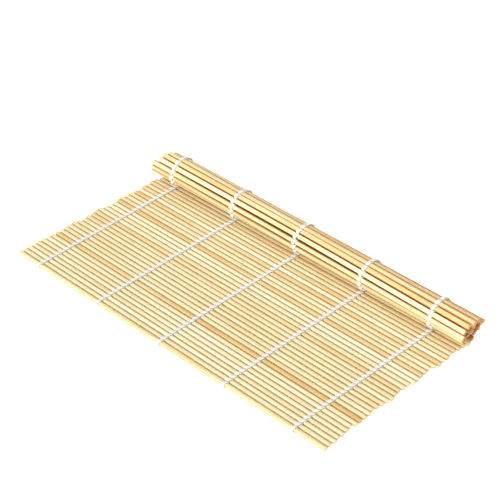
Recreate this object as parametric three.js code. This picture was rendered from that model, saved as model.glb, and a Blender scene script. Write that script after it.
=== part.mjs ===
// A bamboo sushi rolling mat: thin slats held side by side by five twined cotton strings, laid
// out flat at the front and rolled up into a loose scroll at the back.
// Millimetres, +Z up. X runs along the slats, Y along the strings, towards the roll.
import * as THREE from "three";

// Driving dimensions of the slats
const SLAT_COUNT = 55;
const SLAT_PITCH = 3.47;
const FIRST_SLAT_Y = 1.95; // from the mat's front edge to the first slat's middle
const SLAT_HALF_WIDTH = 1.4;
const SLAT_HALF_HEIGHT = 1.1;
const SLAT_CENTRE_Z = 1.9;

// Where a slat's two ends are, and how far the ragged edge wanders
const LEFT_END = -118.7;
const LEFT_DRIFT = 0.115; // for each slat, as far as the roll
const RIGHT_END = 120.2;
const RIGHT_DRIFT = 0.03;
const RIGHT_FLARE = 2.2; // at the front edge, gone after some slats
const FLARE_SLATS = 5;
const RAGGED = 0.75;
const RAGGED_PERIOD = 6.1; // in slats
const RAGGED_START = 13; // the slat at which a wave of the edge starts
const RAGGED_FADE = 10; // slats at the front edge over which the waves grow
const UNEVEN_LENGTH = 0.35;

// The slats on the top and back of the roll have slid out to the right in their strings, and
// those low on its front are longer at the left
const SLIDE = 4.5;
const SLIDE_SLAT = 40.5; // the one that has slid furthest
const SLIDE_SPREAD = 4; // in slats
const LONGER = 4.5;
const LONGEST_SLAT = 45;
const LONGER_SPREAD = 3; // in slats

// The slats fan out a little in plan: each is turned more than the one before, its right end
// further back, until the innermost ones lie along the roll again
const FAN_START = THREE.MathUtils.degToRad(0.22);
const FAN_STEP = THREE.MathUtils.degToRad(0.03);
const FANNED_SLATS = 46;

// Driving dimensions of the roll, a spiral of the mat's middle surface
const ROLL_START_Y = 115.51;
const ROLL_RADIUS = 10.26;
const ROLL_YAW = THREE.MathUtils.degToRad(0.84);
const LAYER_PITCH = 3.96;
const SHRINK = LAYER_PITCH / (2 * Math.PI); // lost from the radius for each radian of turn
const LEAN = 0.07; // the roll leans to the right, by this much for each millimetre of height
const FIRST_TURN = 2 * Math.PI * (ROLL_RADIUS - LAYER_PITCH / 2); // its length along the mat
const FLAT_SLATS = Math.floor((ROLL_START_Y - FIRST_SLAT_Y) / SLAT_PITCH) + 1;
const OUTER_SLATS = Math.floor((ROLL_START_Y + FIRST_TURN - FIRST_SLAT_Y) / SLAT_PITCH) + 1;

// Driving dimensions of the strings
const STRING_COUNT = 5;
const STRING_SPACING = 50;
const OUTER_STRING_X = ((STRING_COUNT - 1) / 2) * STRING_SPACING;
const STRING_WIDTH = 2.6;
const STRING_TOP = 2.1; // above the slats' middle, on the open face of the flat stretch
const STRING_UNDER = 1.9; // below it, down to the surface that the mat lies on
const STRING_WOUND = 1.85; // inside the roll, where a turn lies on the next one
const STRING_WAIST = 1.5; // in the gap between two slats, where the two strands cross
const CREST_HALF = 0.7; // half the length of a strand's flat top over a slat
const COVERED_SLATS = 3; // flat slats that the front of the roll hangs over

// The loop that closes a string round its first and last slat: along the mat, and off its middle
const END_LOOP = [[1.8, -1.25], [2.15, 0], [1.8, 1.25]];

// The passage for a slat through a string, a little larger than the slat
const PASSAGE = [[1.58, 0], [1.05, 1.33], [-1.05, 1.33], [-1.58, 0], [-1.05, -1.33], [1.05, -1.33]];

const bamboo = new THREE.MeshStandardMaterial({ color: 0xf3dfa6, roughness: 0.6, metalness: 0 });
const cotton = new THREE.MeshStandardMaterial({ color: 0xf7f6f2, roughness: 0.95, metalness: 0 });

// The mat's middle surface at a run along the strings: its place and its slope.
function middle(run) {
  const wound = run - ROLL_START_Y;
  if (wound <= 0) return { y: run, z: SLAT_CENTRE_Z, slope: 0 };
  const turn = (ROLL_RADIUS - Math.sqrt(ROLL_RADIUS ** 2 - 2 * SHRINK * wound)) / SHRINK;
  const radius = ROLL_RADIUS - SHRINK * turn;
  return {
    y: ROLL_START_Y + radius * Math.sin(turn),
    z: SLAT_CENTRE_Z + ROLL_RADIUS - radius * Math.cos(turn),
    slope: turn + Math.atan2(SHRINK, radius),
  };
}

// How far a slat is turned in plan, as if it still lay flat.
function fanOf(slat) {
  const fanned = FAN_START + FAN_STEP * Math.min(slat, FANNED_SLATS);
  const settled = (slat - FANNED_SLATS) / (SLAT_COUNT - 1 - FANNED_SLATS);
  return THREE.MathUtils.lerp(fanned, ROLL_YAW, THREE.MathUtils.clamp(settled, 0, 1));
}

// The mat's middle surface at a slat, or part of the way to the next, in the plane across at x.
function surface(slat, x) {
  const place = middle(FIRST_SLAT_Y + SLAT_PITCH * slat + x * Math.tan(fanOf(slat) - ROLL_YAW));
  return { y: place.y + x * Math.tan(ROLL_YAW), z: place.z, slope: place.slope };
}

// A slat is straight and isn't twisted, so it takes its line from its crossings with the outer strings.
function slatAt(slat, x) {
  const left = surface(slat, -OUTER_STRING_X);
  const right = surface(slat, OUTER_STRING_X);
  const share = (x + OUTER_STRING_X) / (2 * OUTER_STRING_X);
  return {
    y: THREE.MathUtils.lerp(left.y, right.y, share),
    z: THREE.MathUtils.lerp(left.z, right.z, share),
    slope: surface(slat, 0).slope,
  };
}

// A point in the plane across the mat at one place: along the mat's slope there, and off it.
function sectionPoint(place, along, off) {
  const y = place.y + along * Math.cos(place.slope) - off * Math.sin(place.slope);
  const z = place.z + along * Math.sin(place.slope) + off * Math.cos(place.slope);
  return new THREE.Vector2(y, Math.max(z, 0));
}

// A smooth bump over some slats, for what only a few of them do.
const bump = (height, top, spread, slat) => height * Math.exp(-(((slat - top) / spread) ** 2));

// How far the roll leans to the right at a height. Nothing leans below the flat stretch's top.
const leanAt = (z) => LEAN * Math.max(0, z - SLAT_CENTRE_Z - STRING_TOP);

// The two ends of a slat, along X.
function endsOf(slat) {
  const flat = Math.min(slat, FLAT_SLATS);
  const grown = Math.min(1, slat / RAGGED_FADE);
  const wave = RAGGED * grown * Math.sin((2 * Math.PI * (slat - RAGGED_START)) / RAGGED_PERIOD);
  const uneven = UNEVEN_LENGTH * Math.sin(2.4 * slat);
  const slide = bump(SLIDE, SLIDE_SLAT, SLIDE_SPREAD, slat);
  const longer = bump(LONGER, LONGEST_SLAT, LONGER_SPREAD, slat);
  const moved = wave + slide + leanAt(slatAt(slat, 0).z);
  const flare = RIGHT_FLARE * Math.exp(-slat / FLARE_SLATS);
  return {
    left: LEFT_END + LEFT_DRIFT * flat + moved + uneven - longer,
    right: RIGHT_END + RIGHT_DRIFT * flat + flare + moved - uneven,
  };
}

// A split slat: flat on top and underneath, with rounded sides.
function slatSection() {
  const w = SLAT_HALF_WIDTH;
  const h = SLAT_HALF_HEIGHT;
  const corner = [[w, 0], [0.82 * w, 0.68 * h], [0.43 * w, h]];
  const upper = [...corner, ...corner.slice(1).reverse().map(([y, z]) => [-y, z])];
  const outline = [...upper, ...upper.map(([y, z]) => [-y, -z])];
  return new THREE.Shape(outline.map(([y, z]) => new THREE.Vector2(y, z)));
}

function slatGeometry(slat) {
  const { left, right } = endsOf(slat);
  const start = slatAt(slat, left);
  const end = slatAt(slat, right);
  const from = new THREE.Vector3(left, start.y, start.z);
  const line = new THREE.Vector3(right, end.y, end.z).sub(from);
  const depth = line.length();
  const forward = line.normalize();
  const across = new THREE.Vector3(0, Math.cos(start.slope), Math.sin(start.slope));
  across.addScaledVector(forward, -across.dot(forward)).normalize();
  const up = forward.clone().cross(across);
  return new THREE.ExtrudeGeometry(slatSection(), { depth, bevelEnabled: false })
    .applyMatrix4(new THREE.Matrix4().makeBasis(across, up, forward).setPosition(from));
}

// One side of a string's outline: over each slat a crest, and a dip in the gap after it.
function stringSide(x, first, last, crest, dip) {
  const points = [];
  for (let slat = first; slat <= last; slat += 1) {
    const place = slatAt(slat, x);
    points.push(sectionPoint(place, -CREST_HALF, crest(slat)));
    points.push(sectionPoint(place, CREST_HALF, crest(slat)));
    if (slat < last) points.push(sectionPoint(surface(slat + 0.5, x), 0, dip));
  }
  return points;
}

function endLoop(place, way) {
  return END_LOOP.map(([along, off]) => sectionPoint(place, way * along, way * off));
}

// The open face of the flat stretch has tall crests, and the rolled-up face has low ones.
const upperCrest = (slat) => (slat < FLAT_SLATS - COVERED_SLATS ? STRING_TOP : STRING_WOUND);
const lowerCrest = (slat) => (slat < OUTER_SLATS ? -STRING_UNDER : -STRING_WOUND);

// A twined string seen from the side: two strands that hold each slat between them and cross in
// the gaps, as one band with a passage for each slat. Its underside lies flat as far as the roll.
function stringGeometry(x) {
  const last = SLAT_COUNT - 1;
  const shape = new THREE.Shape([
    sectionPoint(slatAt(0, x), -CREST_HALF, -STRING_UNDER),
    sectionPoint(slatAt(FLAT_SLATS - 1, x), CREST_HALF, -STRING_UNDER),
    ...stringSide(x, FLAT_SLATS, last, lowerCrest, -STRING_WAIST),
    ...endLoop(slatAt(last, x), 1),
    ...stringSide(x, 0, last, upperCrest, STRING_WAIST).reverse(),
    ...endLoop(slatAt(0, x), -1),
  ]);
  for (let slat = 0; slat < SLAT_COUNT; slat += 1) {
    const place = slatAt(slat, x);
    shape.holes.push(new THREE.Path(PASSAGE.map(([along, off]) => sectionPoint(place, along, off))));
  }
  const across = new THREE.Vector3(0, 1, 0);
  const up = new THREE.Vector3(0, 0, 1);
  const forward = new THREE.Vector3(1, 0, 0);
  const geometry = new THREE.ExtrudeGeometry(shape, { depth: STRING_WIDTH, bevelEnabled: false })
    .applyMatrix4(new THREE.Matrix4().makeBasis(across, up, forward))
    .translate(x - STRING_WIDTH / 2, 0, 0);
  const corners = geometry.getAttribute("position");
  for (let i = 0; i < corners.count; i += 1) {
    corners.setX(i, corners.getX(i) + leanAt(corners.getZ(i)));
  }
  return geometry;
}

function named(name, geometry, material) {
  const mesh = new THREE.Mesh(geometry, material);
  mesh.name = name;
  return mesh;
}

const pieces = new THREE.Group();
for (let slat = 0; slat < SLAT_COUNT; slat += 1) {
  pieces.add(named("slat_" + String(slat + 1).padStart(2, "0"), slatGeometry(slat), bamboo));
}
for (let string = 0; string < STRING_COUNT; string += 1) {
  const x = string * STRING_SPACING - OUTER_STRING_X;
  pieces.add(named("string_" + (string + 1), stringGeometry(x), cotton));
}

// The origin is in the middle of the mat's box, on the surface that it lies on.
const box = new THREE.Box3().setFromObject(pieces);
const centre = box.getCenter(new THREE.Vector3());
pieces.position.set(-centre.x, -centre.y, -box.min.z);

const mat = new THREE.Group();
mat.add(pieces);

export default mat;
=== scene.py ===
"""A bamboo sushi rolling mat: split slats twined together with white cotton strings.

Metres, +Z up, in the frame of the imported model. X runs along the slats and Y along the strings.
Every slat and string is made again here, finer, where its solid lies.
"""
import math
import random

import bpy
import numpy as np
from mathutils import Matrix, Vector


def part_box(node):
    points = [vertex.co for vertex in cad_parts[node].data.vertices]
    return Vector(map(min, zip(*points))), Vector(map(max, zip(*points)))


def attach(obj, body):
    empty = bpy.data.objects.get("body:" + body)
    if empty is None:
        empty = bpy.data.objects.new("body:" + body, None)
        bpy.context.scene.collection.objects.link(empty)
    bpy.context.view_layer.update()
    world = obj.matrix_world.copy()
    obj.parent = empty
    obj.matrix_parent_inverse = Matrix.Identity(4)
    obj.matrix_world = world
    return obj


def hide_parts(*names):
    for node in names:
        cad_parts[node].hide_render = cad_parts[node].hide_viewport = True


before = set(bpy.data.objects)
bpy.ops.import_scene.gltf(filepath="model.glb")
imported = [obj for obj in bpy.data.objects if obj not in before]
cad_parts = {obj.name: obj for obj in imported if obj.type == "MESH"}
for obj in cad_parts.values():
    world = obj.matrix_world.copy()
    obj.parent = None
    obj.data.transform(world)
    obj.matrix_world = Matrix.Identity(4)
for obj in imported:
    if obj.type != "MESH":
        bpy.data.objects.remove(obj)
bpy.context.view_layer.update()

MM = 0.001

# The camera, fitted to the photograph, which is square
AZIMUTH = math.radians(44.3)
ELEVATION = math.radians(36.82)
DISTANCE = 1.045
TARGET = Vector((-0.02642, 0.03149, 0.0034))
SENSOR = 36.0
LENS = 129.05

# Each soft light's name, energy, width in degrees and the direction that it comes from
LIGHTS = [
    ("key", 1.65, 36, (-0.15, -0.8, 0.56)),
    ("front", 2.2, 36, (0.1, -0.97, 0.2)),
    ("fill", 1.7, 100, (0.0, -0.87, 0.5)),
    ("top", 0.95, 60, (0.1, 0.3, 0.95)),
]

# A slat's section, and how its points are spread
SLAT_HALF_WIDTH = 1.44 * MM
SLAT_HALF_HEIGHT = 1.1 * MM
SQUARENESS = 3.0  # 2 is an ellipse, and more is squarer
SLAT_SIDES = 24
SLAT_STEP = 2.6 * MM
END_ROUNDING = 0.28 * MM
END_RINGS = [(0.0, 1.0), (0.45, 1.0), (0.8, 0.97), (0.93, 0.75)]  # share of the section, of the end

# The strings: the strand's half thickness and half width over a slat, and in the gap beside it
STRING_WIDTH = 2.6 * MM
STRAND_FLAT_TOP = 0.35 * MM
STRAND_OUTSIDE = 0.5 * MM
STRAND_UNDER = 0.4 * MM
STRAND_WOUND = 0.37 * MM
STRAND_HALF_WIDTH = 1.28 * MM
STRAND_IN_GAP = 0.38 * MM
STRAND_GAP_WIDTH = 1.08 * MM
STRAND_OFFSET = 0.72 * MM  # each strand's distance from the string's middle in a gap
STRAND_SQUARENESS = 2.4
STRAND_SIDES = 18
STRAND_STEPS = 20  # over one slat
PLIES = 3
PLY_DEPTH = 0.17
PLY_LAY = 2.6 * MM
LEAN_FROM = 4.0 * MM

# Which slats lie flat, are on the outside of the roll, and differ from the rest in colour
FLAT_SLATS = 33
OUTER_SLATS = range(34, 48)
# On these back slats the painted shade on the faces turned into the roll runs their whole length.
BACK_SLATS = range(34, 39)
PALE = {2: 0.5, 4: 0.5, 6: 0.6, 19: 0.6, 20: 0.8, 21: 0.6, 27: 0.9, 36: 0.6, 37: 0.9, 38: 0.9, 39: 0.5}
# Painted shade on the slats inside the roll: their tone is made darker, most along the middle of their length and
# less at their ends.
INNER_SHADE = 2.0
INNER_END_SHADE = 1.2
INNER_SHADE_FADE = 12 * MM
# The flat slats' share of the dark cut-end colour; the roll's slats get it all, the end grain's own colour plus
# painted shade.
FLAT_CUT = 0.15

# On the front of the roll, how far each slat is moved over in the middle of its length, and its width there
MOVED = {41: -0.12 * MM, 42: -0.5 * MM, 43: -0.5 * MM, 44: -0.38 * MM, 45: 0.42 * MM, 46: 0.55 * MM, 47: 0.45 * MM}
NARROWED = {43: 0.08, 44: 0.1, 45: 0.06}
CLOSER = {33: 0.1, 34: 0.14, 35: 0.15, 36: 0.15, 37: 0.1}
MOVED_MIDDLE = -0.005
MOVED_SPREAD = 0.085
LIFTED = {39: 0.1 * MM, 40: 0.35 * MM, 41: 0.2 * MM}
AMBER = {8: 0.75, 17: 0.45, 22: 0.9, 26: 0.9, 28: 0.3, 30: 0.25, 31: 0.35, 32: 0.4, 40: 0.5, 41: 0.3, 42: 0.8, 43: 0.25, 44: 0.4, 45: 0.65, 46: 0.4}


class Slat:
    """Where a slat lies: its left end, its direction and length, and its section's two directions."""

    def __init__(self, index):
        self.index = index
        self.node = f"slat_{index + 1:02d}"
        points = np.array([v.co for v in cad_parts[self.node].data.vertices])
        corners = np.unique(points.round(7), axis=0)
        middle = corners[:, 0].mean()
        left = corners[corners[:, 0] < middle]
        right = corners[corners[:, 0] > middle]
        self.left = left.mean(0)
        run = right.mean(0) - self.left
        self.length = np.linalg.norm(run)
        self.forward = run / self.length
        spokes = left - self.left
        self.across = spokes[np.linalg.norm(spokes, axis=1).argmax()]
        self.across = self.across / np.linalg.norm(self.across)
        self.up = np.cross(self.forward, self.across)

    def face(self, direction):
        """Turns the section so that its across points along the mat, away from the front edge."""
        if self.across @ direction < 0:
            self.across = -self.across
            self.up = -self.up

    def at(self, x):
        """The point on the slat's axis in the plane across at x."""
        return self.left + self.forward * (x - self.left[0]) / self.forward[0]


def read_slats():
    slats = [Slat(k) for k in range(sum(name.startswith("slat_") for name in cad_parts))]
    for slat, after in zip(slats, slats[1:]):
        slat.face(after.at(0) - slat.at(0))
    slats[-1].face(slats[-1].at(0) - slats[-2].at(0))
    return slats


def quads(rings, around, closed=False):
    """Faces between neighbouring rings of points, and back to the first ring where it is closed."""
    faces = []
    for ring in range(rings if closed else rings - 1):
        after = (ring + 1) % rings
        for corner in range(around):
            beside = (corner + 1) % around
            faces.append((
                ring * around + corner,
                ring * around + beside,
                after * around + beside,
                after * around + corner,
            ))
    return faces


def mesh_piece(name, node, material, points, faces, vectors):
    """A smooth-shaded object that stands for a node, with its named vector attributes."""
    mesh = bpy.data.meshes.new(name)
    mesh.from_pydata(points.tolist(), [], faces)
    mesh.shade_smooth()
    for key, values in vectors.items():
        layer = mesh.attributes.new(key, "FLOAT_VECTOR", "POINT")
        layer.data.foreach_set("vector", np.asarray(values, np.float32).ravel())
    mesh.materials.append(material)
    mesh.validate()
    piece = bpy.data.objects.new(name, mesh)
    bpy.context.scene.collection.objects.link(piece)
    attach(piece, "root")
    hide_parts(node)
    return piece


def wander(draw, places, length, count=4):
    """A smooth random line through places along a length, between about -1 and 1."""
    line = np.zeros_like(places)
    for wave in range(1, count + 1):
        size = draw.uniform(0.4, 1.0) / wave
        line += size * np.sin(2 * math.pi * (wave * 0.5 * places / length + draw.random()))
    return line / 1.6


def slat_piece(slat, material):
    """A split slat: a little bowed, unevenly thick, ridged along its fibres, its ends just rounded."""
    draw = random.Random(1000 + slat.index)
    steps = round(slat.length / SLAT_STEP)
    inner = np.linspace(END_ROUNDING, slat.length - END_ROUNDING, steps)
    runs = [0.0] * len(END_RINGS) + list(inner) + [slat.length] * len(END_RINGS)
    scales = [share for share, _ in END_RINGS] + [1.0] * steps
    scales += [share for share, _ in reversed(END_RINGS)]
    sinks = [END_ROUNDING * (1 - reach) for _, reach in END_RINGS]
    runs = np.array(runs)
    runs[:len(sinks)] += sinks
    runs[-len(sinks):] -= sinks[::-1]
    scales = np.array(scales)

    angles = 2 * math.pi * (np.arange(SLAT_SIDES) + 0.5) / SLAT_SIDES
    power = 2 / SQUARENESS
    section_y = np.sign(np.cos(angles)) * np.abs(np.cos(angles)) ** power
    section_z = np.sign(np.sin(angles)) * np.abs(np.sin(angles)) ** power
    ridges = np.array([draw.uniform(-1, 1) for _ in angles])
    ridges = 1 + 0.012 * ridges

    wide = SLAT_HALF_WIDTH * (1 + 0.035 * draw.uniform(-1, 1) + 0.03 * wander(draw, runs, slat.length))
    high = SLAT_HALF_HEIGHT * (1 + 0.05 * draw.uniform(-1, 0.2) + 0.03 * wander(draw, runs, slat.length))
    held = np.sin(math.pi * np.clip(runs / slat.length, 0, 1))
    bow = 0.10 * MM * draw.uniform(-1, 1) * held + 0.03 * MM * wander(draw, runs, slat.length, 7)
    middle = np.exp(-((slat.left[0] + runs - MOVED_MIDDLE) / MOVED_SPREAD) ** 2)
    bow += MOVED.get(slat.index, 0) * (1.6 * middle - 0.6) + LIFTED.get(slat.index, 0)
    wide *= 1 - NARROWED.get(slat.index, 0) * (1.6 * middle - 0.6)
    wide *= 1 + CLOSER.get(slat.index, 0) * np.exp(-((slat.length - runs) / (40 * MM)) ** 2)
    skew = [draw.uniform(-0.25, 0.25) for _ in range(2)]

    y = np.outer(wide * scales, section_y * ridges) + bow[:, None]
    z = np.outer(high * scales, section_z * ridges)
    leaning = np.where(runs < slat.length / 2, skew[0], skew[1])
    near_end = np.exp(-np.minimum(runs, slat.length - runs) / (2 * MM))
    x = runs[:, None] + (leaning * near_end)[:, None] * y
    x = np.clip(x, 0, slat.length)
    points = (
        slat.left
        + x[..., None] * slat.forward
        + y[..., None] * slat.across
        + z[..., None] * slat.up
    ).reshape(-1, 3)

    rings = len(runs)
    faces = quads(rings, SLAT_SIDES)
    offset = draw.uniform(0, 1)
    grain = np.stack([x + offset, y + offset * 0.3, z], -1).reshape(-1, 3)
    tone = AMBER.get(slat.index, 0) - PALE.get(slat.index, 0) + draw.uniform(-0.18, 0.18)
    from_end = np.minimum(runs, slat.length - runs)
    # Painted shade for the slats inside the roll, deepest away from their ends.
    hidden = 1 - np.exp(-(from_end / INNER_SHADE_FADE) ** 2)
    painted_inner_shade = (INNER_END_SHADE + INNER_SHADE * hidden) * (slat.index >= OUTER_SLATS.stop)
    cut = (scales < 0.99).astype(float)
    look = np.zeros((rings, SLAT_SIDES, 3))
    look[..., 0] = (0.5 + 0.5 * (tone + painted_inner_shade))[:, None]
    # Cut ends: the end grain's darker colour, at full strength in the roll, where it is partly painted shade, and
    # faint on the flat slats.
    look[..., 1] = (cut * (1.0 if slat.index > FLAT_SLATS else FLAT_CUT))[:, None]
    # Painted shade: each slat's sides are painted a warmer brown, so the gaps between slats look dark.
    look[..., 2] = np.abs(section_y)[None, :] ** 4
    # Painted shade in the roll's gaps: its outer slats get darker sides and darker faces turned into the roll,
    # fading towards their ends except on the back slats.
    if slat.index in OUTER_SLATS:
        shown = hidden if slat.index > BACK_SLATS.stop else np.ones_like(hidden)
        inner_face_shade = np.clip(2 * section_z, 0, 1)[None, :] * shown[:, None]
        look[..., 2] = np.maximum(1.3 * look[..., 2], 1.6 * inner_face_shade)
    return mesh_piece(
        f"bamboo_{slat.index + 1:02d}", slat.node, material,
        points, faces, {"grain": grain, "look": look.reshape(-1, 3)},
    )


def strand_heights(index):
    """A strand's half thickness over and under a slat."""
    over = STRAND_FLAT_TOP if index < FLAT_SLATS - 2 else STRAND_WOUND
    under = STRAND_OUTSIDE if index in OUTER_SLATS else STRAND_UNDER
    if index >= OUTER_SLATS.stop:
        under = STRAND_WOUND
    return over, under


def string_line(slats, node):
    """The string's crossing with each slat, and the middle of each gap beside it."""
    low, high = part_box(node)
    x = low.x + STRING_WIDTH / 2
    lean = (high.x - low.x - STRING_WIDTH) / (high.z - LEAN_FROM)
    draw = random.Random(node)
    crossings = []
    for slat in slats:
        height = slat.at(x)[2]
        wiggle = 0.1 * MM * draw.uniform(-1, 1)
        crossings.append(slat.at(x + lean * max(0.0, height - LEAN_FROM) + wiggle))
    gaps = [(a + b) / 2 for a, b in zip(crossings, crossings[1:])]
    gaps.insert(0, 2 * crossings[0] - gaps[0])
    gaps.append(2 * crossings[-1] - gaps[-1])
    return crossings, gaps


def strand_over(slats, crossings, gaps, index, side):
    """A strand's way over a slat (side 1) or under it (side -1): places, outward directions, sizes."""
    slat = slats[index]
    turn = np.linspace(-math.pi / 2, math.pi / 2, STRAND_STEPS, endpoint=False)
    power = 2 / STRAND_SQUARENESS
    along = np.sign(np.sin(turn)) * np.abs(np.sin(turn)) ** power
    rise = np.abs(np.cos(turn)) ** power
    thick = strand_heights(index)[0 if side > 0 else 1]
    height = SLAT_HALF_HEIGHT + thick
    forth = np.where(along > 0, 1, 0)[:, None] * (gaps[index + 1] - crossings[index])
    back = np.where(along > 0, 0, 1)[:, None] * (crossings[index] - gaps[index])
    places = crossings[index] + along[:, None] * (forth + back) + (side * rise * height)[:, None] * slat.up
    sway = np.sin(turn)
    if index == 0:
        sway = np.where(turn < 0, sway * np.cos(turn), sway)
    if index == len(slats) - 1:
        sway = np.where(turn > 0, sway * np.cos(turn), sway)
    places = places + (side * STRAND_OFFSET * sway)[:, None] * slat.forward
    outward = side * np.sin(turn)[:, None] * slat.across + np.cos(turn)[:, None] * slat.up
    share = np.cos(turn)[:, None]
    thin = STRAND_IN_GAP + (thick - STRAND_IN_GAP) * share
    broad = STRAND_GAP_WIDTH + (STRAND_HALF_WIDTH - STRAND_GAP_WIDTH) * share
    return places, outward, np.hstack([thin, broad])


def string_piece(slats, node, material):
    """Two strands that hold every slat between them and cross in each gap: one cord, there and back."""
    crossings, gaps = string_line(slats, node)
    ways = []
    for index in range(len(slats)):
        ways.append(strand_over(slats, crossings, gaps, index, 1 if index % 2 == 0 else -1))
    for index in reversed(range(len(slats))):
        places, outward, sizes = strand_over(slats, crossings, gaps, index, -1 if index % 2 == 0 else 1)
        ways.append((places[::-1], outward[::-1], sizes[::-1]))
    places = np.vstack([way[0] for way in ways])
    outward = np.vstack([way[1] for way in ways])
    sizes = np.vstack([way[2] for way in ways])

    tangent = np.roll(places, -1, 0) - np.roll(places, 1, 0)
    tangent /= np.linalg.norm(tangent, axis=1)[:, None]
    outward -= (outward * tangent).sum(1)[:, None] * tangent
    outward /= np.linalg.norm(outward, axis=1)[:, None]
    beside = np.cross(tangent, outward)
    run = np.cumsum(np.linalg.norm(places - np.roll(places, 1, 0), axis=1))
    twist = 2 * math.pi * run / PLY_LAY
    angles = 2 * math.pi * np.arange(STRAND_SIDES) / STRAND_SIDES
    lobes = 1 - PLY_DEPTH + PLY_DEPTH * np.abs(np.cos(PLIES / 2 * (angles[None, :] - twist[:, None])))
    thin = sizes[:, :1] * np.cos(angles) * lobes
    broad = sizes[:, 1:] * np.sin(angles) * lobes
    points = places[:, None] + thin[..., None] * outward[:, None] + broad[..., None] * beside[:, None]
    points = points.reshape(-1, 3)
    points[:, 2] = np.maximum(points[:, 2], 0)
    fibre = np.stack([
        np.repeat(run[:, None], STRAND_SIDES, 1),
        np.cos(angles - twist[:, None]) * MM / 2,
        np.sin(angles - twist[:, None]) * MM / 2,
    ], -1).reshape(-1, 3)
    look = np.zeros((len(places), STRAND_SIDES, 3))
    look[..., 0] = lobes
    faces = quads(len(places), STRAND_SIDES, closed=True)
    return mesh_piece(
        node.replace("string", "twine"), node, material,
        points, faces, {"grain": fibre, "look": look.reshape(-1, 3)},
    )


class Nodes:
    """Builds a material's node tree: each call adds one node and links what it is given."""

    def __init__(self, name):
        self.material = bpy.data.materials.new(name)
        self.material.use_nodes = True
        self.tree = self.material.node_tree
        self.shader = self.tree.nodes["Principled BSDF"]

    def link(self, value, socket):
        if isinstance(value, bpy.types.NodeSocket):
            self.tree.links.new(value, socket)
        else:
            socket.default_value = value

    def attribute(self, name):
        node = self.tree.nodes.new("ShaderNodeAttribute")
        node.attribute_name = name
        return node.outputs["Vector"]

    def scaled(self, vector, x, y, z):
        node = self.tree.nodes.new("ShaderNodeVectorMath")
        node.operation = "MULTIPLY"
        self.link(vector, node.inputs[0])
        node.inputs[1].default_value = (x, y, z)
        return node.outputs["Vector"]

    def axis(self, vector, index):
        node = self.tree.nodes.new("ShaderNodeSeparateXYZ")
        self.link(vector, node.inputs[0])
        return node.outputs[index]

    def noise(self, vector, scale=1.0, detail=2.0, roughness=0.5):
        node = self.tree.nodes.new("ShaderNodeTexNoise")
        self.link(vector, node.inputs["Vector"])
        node.inputs["Scale"].default_value = scale
        node.inputs["Detail"].default_value = detail
        node.inputs["Roughness"].default_value = roughness
        return node.outputs["Fac"]

    def ranged(self, value, low, high, to_low=0.0, to_high=1.0):
        node = self.tree.nodes.new("ShaderNodeMapRange")
        node.inputs["From Min"].default_value = low
        node.inputs["From Max"].default_value = high
        node.inputs["To Min"].default_value = to_low
        node.inputs["To Max"].default_value = to_high
        self.link(value, node.inputs["Value"])
        return node.outputs["Result"]

    def maths(self, operation, a, b):
        node = self.tree.nodes.new("ShaderNodeMath")
        node.operation = operation
        self.link(a, node.inputs[0])
        self.link(b, node.inputs[1])
        return node.outputs["Value"]

    def mix(self, share, a, b, blend="MIX"):
        node = self.tree.nodes.new("ShaderNodeMix")
        node.data_type = "RGBA"
        node.blend_type = blend
        self.link(share, node.inputs["Factor"])
        self.link(a, node.inputs["A"])
        self.link(b, node.inputs["B"])
        return node.outputs["Result"]

    def bump(self, height, strength, distance):
        node = self.tree.nodes.new("ShaderNodeBump")
        node.inputs["Strength"].default_value = strength
        node.inputs["Distance"].default_value = distance
        self.link(height, node.inputs["Height"])
        return node.outputs["Normal"]


def colour(red, green, blue):
    """A linear colour from its screen values, each from 0 to 255."""
    parts = [part / 255 for part in (red, green, blue)]
    return [part / 12.92 if part <= 0.04045 else ((part + 0.055) / 1.055) ** 2.4 for part in parts] + [1.0]


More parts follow.
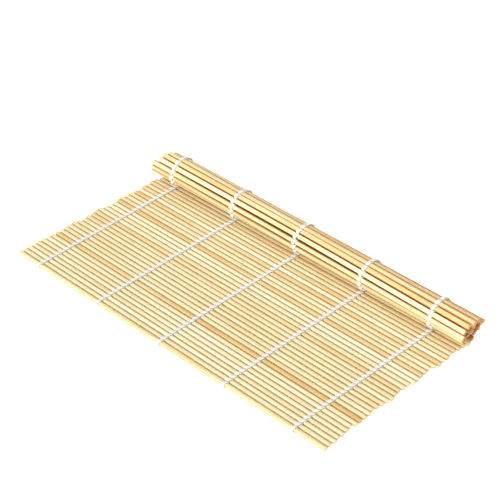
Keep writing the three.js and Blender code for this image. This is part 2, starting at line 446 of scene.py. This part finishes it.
def bamboo_material():
    """Pale split bamboo: long fibres, short dark flecks, darker cut ends, and painted shade: warmer brown sides
    for the gaps, darker ends on the roll, and darker slats inside the roll.
    """
    nodes = Nodes("bamboo")
    grain = nodes.attribute("grain")
    look = nodes.attribute("look")
    tone = nodes.axis(look, 0)
    cut = nodes.axis(look, 1)
    side = nodes.axis(look, 2)

    clouds = nodes.noise(nodes.scaled(grain, 14, 120, 120), 1.0, 2.0)
    streaks = nodes.noise(nodes.scaled(grain, 22, 1500, 1500), 1.0, 3.0, 0.6)
    fibres = nodes.noise(nodes.scaled(grain, 70, 5200, 5200), 1.0, 2.0, 0.6)
    flecks = nodes.noise(nodes.scaled(grain, 320, 4200, 4200), 1.0, 1.0)

    shade = nodes.maths("ADD", tone, nodes.ranged(clouds, 0.3, 0.7, -0.24, 0.24))
    shade = nodes.maths("ADD", shade, nodes.ranged(streaks, 0.3, 0.7, -0.14, 0.14))
    pale = nodes.mix(nodes.ranged(shade, 0.0, 0.5), colour(219, 217, 188), colour(212, 202, 162))
    base = nodes.mix(nodes.ranged(shade, 0.5, 1.0), pale, colour(203, 172, 116))
    # Darkest brown, reached mostly by the painted shade on the slats inside the roll.
    base = nodes.mix(nodes.ranged(shade, 1.0, 1.7), base, colour(84, 48, 20))
    base = nodes.mix(nodes.ranged(fibres, 0.35, 0.75, 0.0, 0.35), base, colour(191, 164, 112))
    base = nodes.mix(nodes.ranged(flecks, 0.66, 0.74, 0.0, 0.45), base, colour(150, 112, 66))
    # Painted shade in the gaps: the slats' sides are made a warmer brown.
    base = nodes.mix(nodes.ranged(side, 0.15, 1.6, 0.0, 1.0), base, colour(166, 104, 38))
    ends = nodes.mix(nodes.ranged(flecks, 0.5, 0.66), colour(186, 134, 72), colour(124, 74, 32))
    base = nodes.mix(cut, base, ends)
    nodes.link(base, nodes.shader.inputs["Base Color"])
    nodes.link(nodes.ranged(streaks, 0.3, 0.7, 0.42, 0.6), nodes.shader.inputs["Roughness"])
    nodes.shader.inputs["Specular IOR Level"].default_value = 0.35
    relief = nodes.maths("ADD", streaks, nodes.ranged(fibres, 0.0, 1.0, 0.0, 0.5))
    nodes.link(nodes.bump(relief, 0.6, 0.00006), nodes.shader.inputs["Normal"])
    return nodes.material


def cotton_material():
    """White cotton: matt, with fine fibres that follow the plies, and painted shade that makes it a little greyer
    between them.
    """
    nodes = Nodes("cotton")
    grain = nodes.attribute("grain")
    ply = nodes.axis(nodes.attribute("look"), 0)
    fibres = nodes.noise(nodes.scaled(grain, 900, 9000, 9000), 1.0, 2.0, 0.6)
    patches = nodes.noise(nodes.scaled(grain, 60, 300, 300), 1.0, 1.0)
    # Painted shade: greyer where the surface sinks between the plies.
    base = nodes.mix(nodes.ranged(ply, 1 - PLY_DEPTH, 1.0), colour(190, 184, 177), colour(206, 202, 195))
    base = nodes.mix(nodes.ranged(fibres, 0.4, 0.75, 0.0, 0.35), base, colour(198, 192, 186))
    base = nodes.mix(nodes.ranged(patches, 0.5, 0.8, 0.0, 0.25), base, colour(204, 198, 188))
    nodes.link(base, nodes.shader.inputs["Base Color"])
    nodes.shader.inputs["Roughness"].default_value = 0.92
    nodes.shader.inputs["Specular IOR Level"].default_value = 0.2
    nodes.shader.inputs["Sheen Weight"].default_value = 0.25
    nodes.link(nodes.bump(fibres, 0.7, 0.00005), nodes.shader.inputs["Normal"])
    return nodes.material


def floor_material():
    nodes = Nodes("paper_floor")
    wash = nodes.noise(nodes.tree.nodes.new("ShaderNodeTexCoord").outputs["Object"], 3.0, 2.0)
    base = nodes.mix(nodes.ranged(wash, 0.3, 0.7), colour(246, 246, 245), colour(250, 250, 249))
    nodes.link(base, nodes.shader.inputs["Base Color"])
    nodes.shader.inputs["Roughness"].default_value = 0.9
    nodes.shader.inputs["Specular IOR Level"].default_value = 0.1
    nodes.shader.inputs["Emission Color"].default_value = (1, 1, 1, 1)
    nodes.shader.inputs["Emission Strength"].default_value = 0.8
    return nodes.material


def make_floor():
    """A plain pale floor, just under the mat, lit a little from below like a light table."""
    reach = 3.0
    mesh = bpy.data.meshes.new("floor")
    corners = [(-reach, -reach, 0), (reach, -reach, 0), (reach, reach, 0), (-reach, reach, 0)]
    mesh.from_pydata(corners, [], [(0, 1, 2, 3)])
    mesh.materials.append(floor_material())
    floor = bpy.data.objects.new("floor", mesh)
    bpy.context.scene.collection.objects.link(floor)
    floor.location.z = -0.02 * MM


def make_light():
    """An even white room, a broad soft light from the front left and a lower one from the front."""
    world = bpy.data.worlds.new("studio")
    world.use_nodes = True
    world.node_tree.nodes["Background"].inputs["Color"].default_value = (1.0, 0.965, 0.9, 1)
    world.node_tree.nodes["Background"].inputs["Strength"].default_value = 0.45
    bpy.context.scene.world = world
    for name, energy, width, direction in LIGHTS:
        lamp = bpy.data.lights.new(name, "SUN")
        lamp.energy = energy
        lamp.angle = math.radians(width)
        lamp.color = (1.0, 1.0, 1.0)
        light = bpy.data.objects.new(name, lamp)
        light.rotation_euler = Vector(direction).to_track_quat("Z", "Y").to_euler()
        bpy.context.scene.collection.objects.link(light)


def make_camera():
    back = Vector((
        math.sin(AZIMUTH) * math.cos(ELEVATION),
        -math.cos(AZIMUTH) * math.cos(ELEVATION),
        math.sin(ELEVATION),
    ))
    lens = bpy.data.cameras.new("camera")
    lens.lens = LENS
    lens.sensor_width = SENSOR
    lens.clip_start = 0.01
    camera = bpy.data.objects.new("camera", lens)
    camera.location = TARGET + DISTANCE * back
    camera.rotation_euler = back.to_track_quat("Z", "Y").to_euler()
    bpy.context.scene.collection.objects.link(camera)
    bpy.context.scene.camera = camera


def make_mat():
    slats = read_slats()
    bamboo = bamboo_material()
    cotton = cotton_material()
    for slat in slats:
        slat_piece(slat, bamboo)
    for node in sorted(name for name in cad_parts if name.startswith("string_")):
        string_piece(slats, node, cotton)


make_camera()
make_light()
make_floor()
make_mat()
bpy.context.scene.view_settings.view_transform = "Standard"
